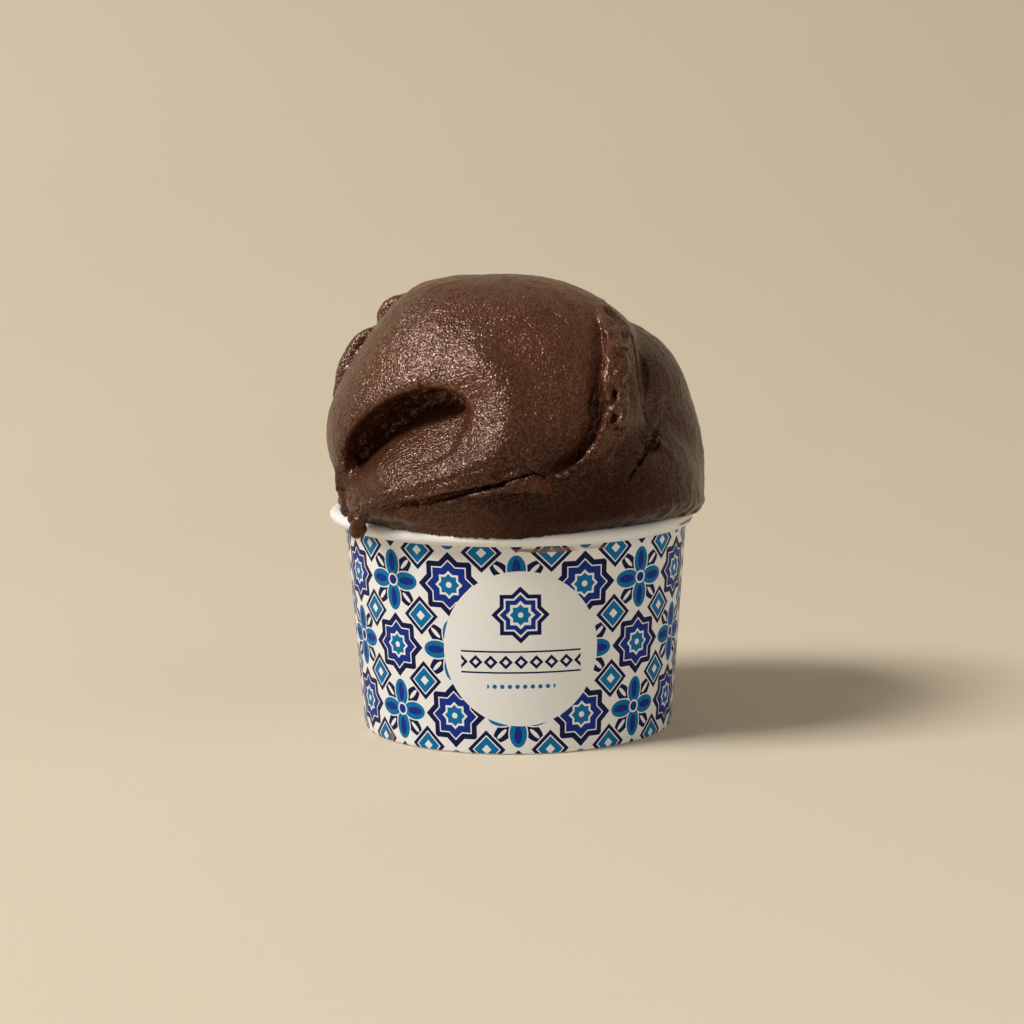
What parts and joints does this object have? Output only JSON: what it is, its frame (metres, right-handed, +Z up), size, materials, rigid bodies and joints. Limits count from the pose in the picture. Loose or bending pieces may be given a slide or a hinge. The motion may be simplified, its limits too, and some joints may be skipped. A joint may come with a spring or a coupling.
{
  "type": "gelato cup",
  "caption": "Round tapered paper tub with a rolled rim and a tile-pattern print, heaped with a folded-over mound of chocolate gelato.",
  "frame": {"origin": "on the surface the cup stands on, under the middle of the cup and of the whole footprint", "axes": "+Z up; +Y to the back, away from the side with the fold's hollow and the round label; +X to the right seen from the front"},
  "size_m": [0.0884, 0.0866, 0.1057],
  "materials": {
    "printed_paper": "satin",
    "base_paper": "matte",
    "chocolate_gelato": "satin"
  },
  "bodies": {
    "root": {"cup_wall": "printed_paper", "cup_base": "base_paper", "gelato": "chocolate_gelato"}
  },
  "joints": []
}
